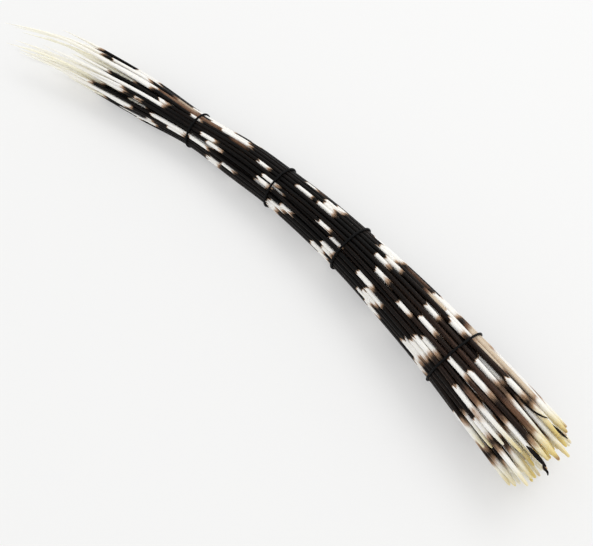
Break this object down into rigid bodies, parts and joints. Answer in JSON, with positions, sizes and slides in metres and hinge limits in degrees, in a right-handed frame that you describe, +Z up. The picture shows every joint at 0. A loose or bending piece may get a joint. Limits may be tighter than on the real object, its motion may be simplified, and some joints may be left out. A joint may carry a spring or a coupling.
{
  "type": "porcupine quill bundle",
  "caption": "Curved bundle of long banded porcupine quills, pale tips one way and yellowish root ends the other, held by thin round elastic ties and lying on its side",
  "frame": {"origin": "middle of the footprint, on the surface that the bundle lies on", "axes": "+X along the bundle's chord from the tips to the root ends, +Y towards the outside of its bend, +Z up"},
  "size_m": [0.4024, 0.0612, 0.0377],
  "materials": {
    "quill": "glossy keratin, banded white and brown-black, with a cream tip and a yellow translucent root",
    "inner_quill": "glossy keratin, banded white and brown-black, as the outer quills",
    "tie": "matt black round elastic cord"
  },
  "bodies": {
    "root": {"quill_01": "quill", "quill_02": "quill", "quill_03": "quill", "quill_04": "quill", "quill_05": "quill", "quill_06": "quill", "quill_07": "quill", "quill_08": "quill", "quill_09": "quill", "quill_10": "quill", "quill_11": "quill", "quill_12": "quill", "quill_13": "quill", "quill_14": "quill", "quill_15": "quill", "quill_16": "quill", "quill_17": "quill", "quill_18": "quill", "quill_19": "quill", "quill_20": "quill", "quill_21": "quill", "quill_22": "quill", "quill_23": "quill", "quill_24": "quill", "quill_25": "quill", "quill_26": "quill", "quill_27": "quill", "quill_28": "quill", "quill_29": "quill", "quill_30": "quill", "quill_31": "quill", "quill_32": "quill", "quill_33": "quill", "quill_34": "quill", "quill_35": "quill", "quill_36": "quill", "quill_37": "quill", "quill_38": "quill", "quill_39": "quill", "quill_40": "quill", "quill_41": "quill", "quill_42": "quill", "quill_43": "quill", "quill_44": "quill", "quill_45": "quill", "quill_46": "quill", "quill_47": "quill", "quill_48": "quill", "quill_49": "quill", "quill_50": "quill", "quill_51": "quill", "quill_52": "quill", "quill_53": "quill", "quill_54": "quill", "inner_quills": "inner_quill", "tie_1": "tie", "tie_2": "tie", "tie_3": "tie", "tie_4": "tie"}
  },
  "joints": []
}
